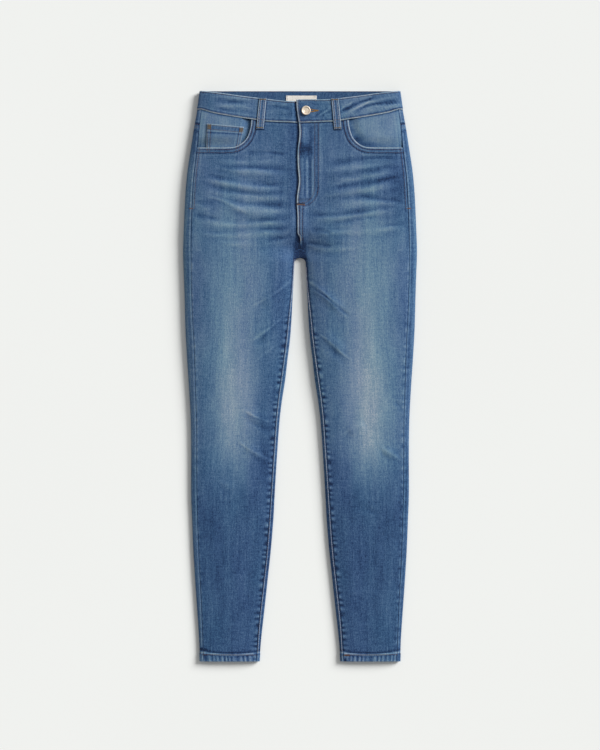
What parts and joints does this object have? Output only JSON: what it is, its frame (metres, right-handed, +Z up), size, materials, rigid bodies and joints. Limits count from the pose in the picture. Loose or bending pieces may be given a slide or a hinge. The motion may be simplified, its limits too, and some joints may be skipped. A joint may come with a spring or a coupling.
{
  "type": "skinny jeans",
  "caption": "Skinny five-pocket jeans in faded mid-blue stretch denim, laid flat on the back, with a buttoned high waist and narrow hems.",
  "frame": {"origin": "middle of the garment's box, on the surface that it lies on", "axes": "+Y from the hems to the waistband, +Z up from the surface through the back to the front, +X to the wearer's left"},
  "size_m": [0.4214, 1.027, 0.022],
  "materials": {
    "denim": "washed mid-blue twill, faded on the thighs",
    "denim_inner": "washed mid-blue twill",
    "zip_tape": "dark woven tape",
    "label": "bare cream woven cloth",
    "button": "pale worn metal with a raised rim"
  },
  "bodies": {
    "root": {"waistband": "denim", "front_left": "denim", "front_right": "denim", "back_left": "denim", "back_right": "denim", "yoke_left": "denim", "yoke_right": "denim", "pocket_facing_left": "denim_inner", "pocket_facing_right": "denim_inner", "coin_pocket": "denim", "back_pocket_left": "denim", "back_pocket_right": "denim", "belt_loop_front_left": "denim", "belt_loop_front_right": "denim", "belt_loop_back_left": "denim", "belt_loop_back_right": "denim", "belt_loop_centre_back": "denim", "button": "button", "zip": "zip_tape", "label": "label"}
  },
  "joints": []
}
